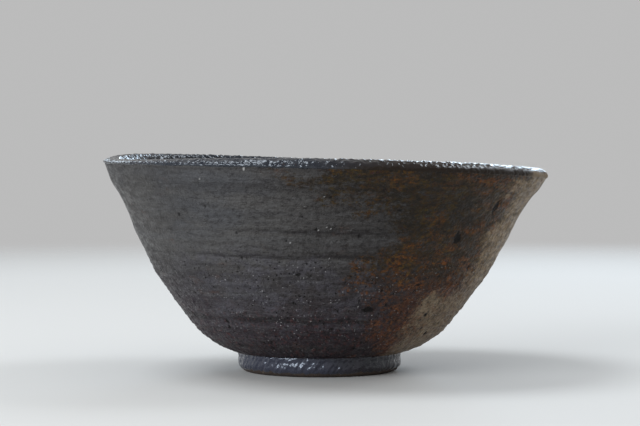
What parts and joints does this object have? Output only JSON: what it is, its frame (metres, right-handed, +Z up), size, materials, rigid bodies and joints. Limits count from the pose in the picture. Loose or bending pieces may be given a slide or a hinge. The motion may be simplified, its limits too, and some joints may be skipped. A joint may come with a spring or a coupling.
{
  "type": "tea bowl",
  "caption": "Flared tea bowl with a thick rounded lip, a full hip and a low foot ring, in dark glazed stoneware.",
  "frame": {"origin": "on the surface that the foot stands on, under the centre of the mouth", "axes": "+Z up through the mouth; -X towards the high side of the rim; +X the way the mouth leans from the foot"},
  "size_m": [0.1323, 0.1322, 0.0652],
  "materials": {
    "clay": "matte",
    "foot_clay": "matte",
    "slip": "matte",
    "outside_glaze": "satin",
    "inside_glaze": "gloss",
    "rim_glaze": "gloss",
    "foot_glaze": "gloss"
  },
  "bodies": {
    "root": {"clay_body": "clay", "foot_ring": "foot_clay", "joint_slip": "slip", "outside_glaze": "outside_glaze", "inside_glaze": "inside_glaze", "rim_glaze": "rim_glaze", "foot_glaze": "foot_glaze"}
  },
  "joints": []
}
